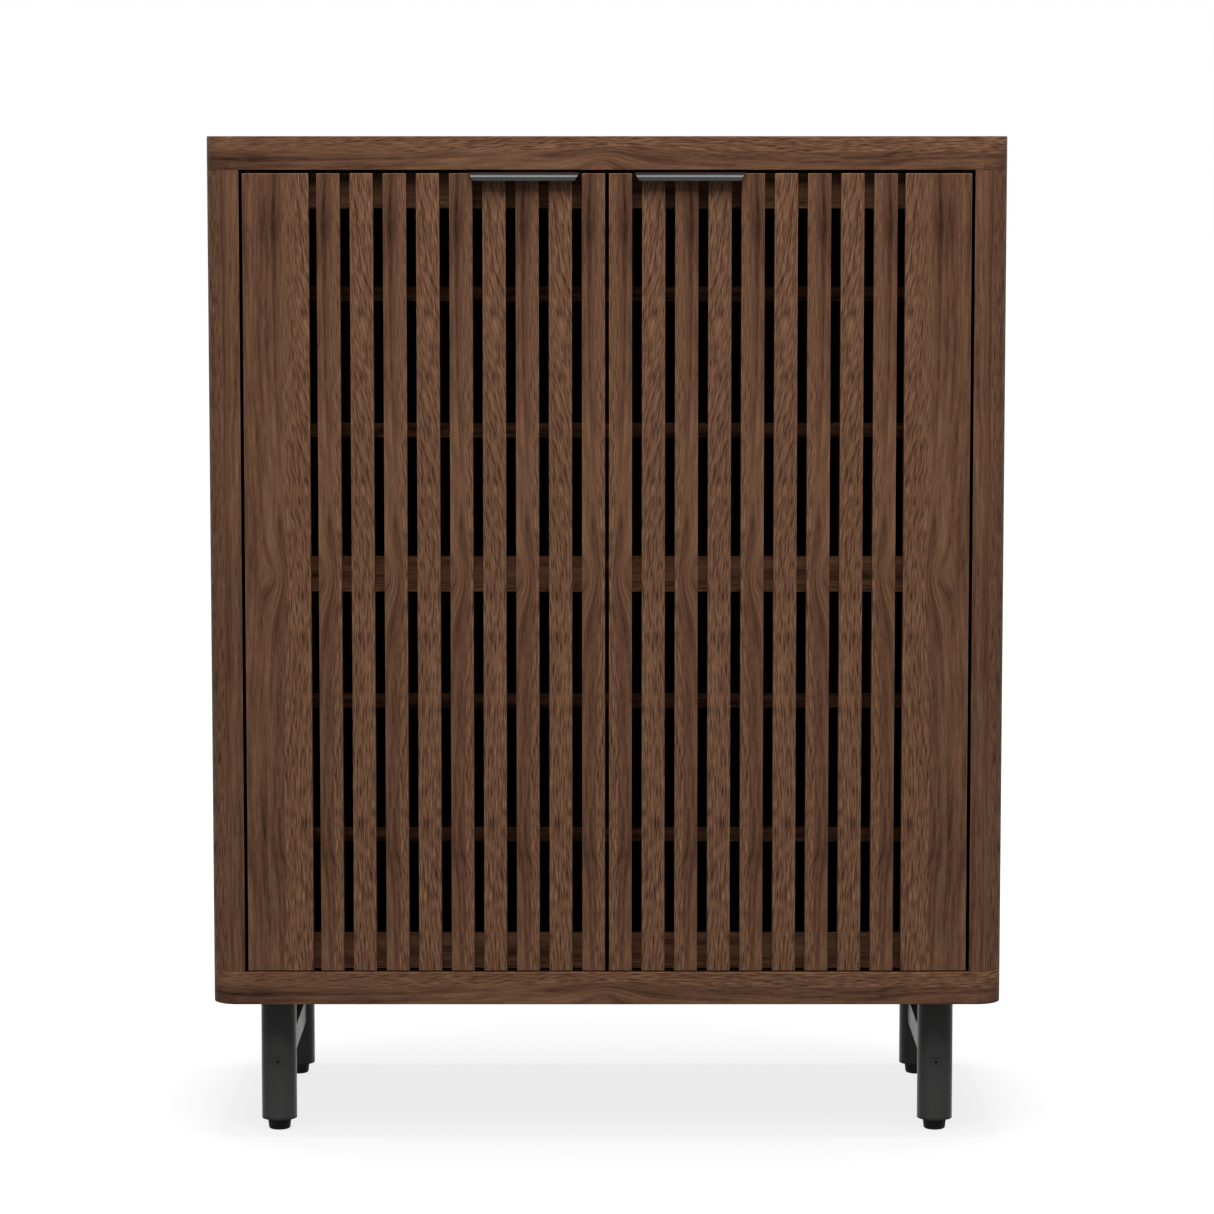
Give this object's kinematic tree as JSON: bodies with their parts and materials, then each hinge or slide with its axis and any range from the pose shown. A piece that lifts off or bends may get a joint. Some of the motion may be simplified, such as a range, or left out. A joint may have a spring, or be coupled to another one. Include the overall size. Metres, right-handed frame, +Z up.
{
  "type": "shoe cabinet",
  "caption": "Wooden shoe cabinet with a pair of slatted doors over open shelves, edge handles and a round-legged steel base with side rails and levelling feet.",
  "frame": {"origin": "on the floor, under the middle of the whole object's box with the door handles counted in", "axes": "+Z up, -Y out of the doored front, +X to the right seen from the front"},
  "size_m": [0.8, 0.3606, 1.014],
  "materials": {
    "walnut": "satin walnut veneer",
    "shaded_walnut": "satin walnut veneer",
    "black_board": "black faced board",
    "black_powder_coat": "fine satin powder coat",
    "gunmetal": "satin gunmetal",
    "zinc_steel": "zinc plated",
    "blackened_steel": "blackened",
    "black_plastic": "moulded",
    "foot_rubber": "matt"
  },
  "bodies": {
    "cabinet": {"top_panel": "walnut", "bottom_panel": "walnut", "left_side_panel": "walnut", "right_side_panel": "walnut", "back_panel": "black_board", "shelf_1": "shaded_walnut", "shelf_2": "shaded_walnut", "shelf_3": "shaded_walnut", "shelf_4": "shaded_walnut", "shelf_5": "shaded_walnut", "shelf_pins": "zinc_steel", "carcass_fittings": "zinc_steel", "wood_screws": "zinc_steel", "pivot_bushes": "black_plastic", "magnetic_catches": "black_plastic", "leg_front_left": "black_powder_coat", "leg_front_right": "black_powder_coat", "leg_rear_left": "black_powder_coat", "leg_rear_right": "black_powder_coat", "left_crossbar": "black_powder_coat", "right_crossbar": "black_powder_coat", "leg_plugs": "black_plastic", "leg_plate_screws": "zinc_steel", "crossbar_bolts": "black_powder_coat"},
    "left_door": {"left_stile": "walnut", "left_top_rail": "shaded_walnut", "left_middle_rail": "shaded_walnut", "left_bottom_rail": "shaded_walnut", "left_handle": "gunmetal", "left_pivots": "blackened_steel", "left_door_screws": "zinc_steel", "left_slat_1": "walnut", "left_slat_2": "walnut", "left_slat_3": "walnut", "left_slat_4": "walnut", "left_slat_5": "walnut", "left_slat_6": "walnut", "left_slat_7": "walnut", "left_slat_8": "walnut", "left_slat_9": "walnut"},
    "right_door": {"right_stile": "walnut", "right_top_rail": "shaded_walnut", "right_middle_rail": "shaded_walnut", "right_bottom_rail": "shaded_walnut", "right_handle": "gunmetal", "right_pivots": "blackened_steel", "right_door_screws": "zinc_steel", "right_slat_1": "walnut", "right_slat_2": "walnut", "right_slat_3": "walnut", "right_slat_4": "walnut", "right_slat_5": "walnut", "right_slat_6": "walnut", "right_slat_7": "walnut", "right_slat_8": "walnut", "right_slat_9": "walnut"},
    "foot_front_left": {"foot_front_left": "foot_rubber"},
    "foot_front_right": {"foot_front_right": "foot_rubber"},
    "foot_rear_left": {"foot_rear_left": "foot_rubber"},
    "foot_rear_right": {"foot_rear_right": "foot_rubber"}
  },
  "joints": [
    {"name": "left_door_hinge", "type": "hinge", "parent": "cabinet", "child": "left_door", "pos_m": [-0.3572, -0.16375, 0.1715], "axis": [0, 0, -1], "range_deg": [0, 110]},
    {"name": "right_door_hinge", "type": "hinge", "parent": "cabinet", "child": "right_door", "pos_m": [0.3572, -0.16375, 0.1715], "axis": [0, 0, 1], "range_deg": [0, 110]},
    {"name": "foot_front_left_screw", "type": "slide", "parent": "cabinet", "child": "foot_front_left", "axis": [0, 0, -1], "range_m": [0, 0.008]},
    {"name": "foot_front_right_screw", "type": "slide", "parent": "cabinet", "child": "foot_front_right", "axis": [0, 0, -1], "range_m": [0, 0.008]},
    {"name": "foot_rear_left_screw", "type": "slide", "parent": "cabinet", "child": "foot_rear_left", "axis": [0, 0, -1], "range_m": [0, 0.008]},
    {"name": "foot_rear_right_screw", "type": "slide", "parent": "cabinet", "child": "foot_rear_right", "axis": [0, 0, -1], "range_m": [0, 0.008]}
  ]
}
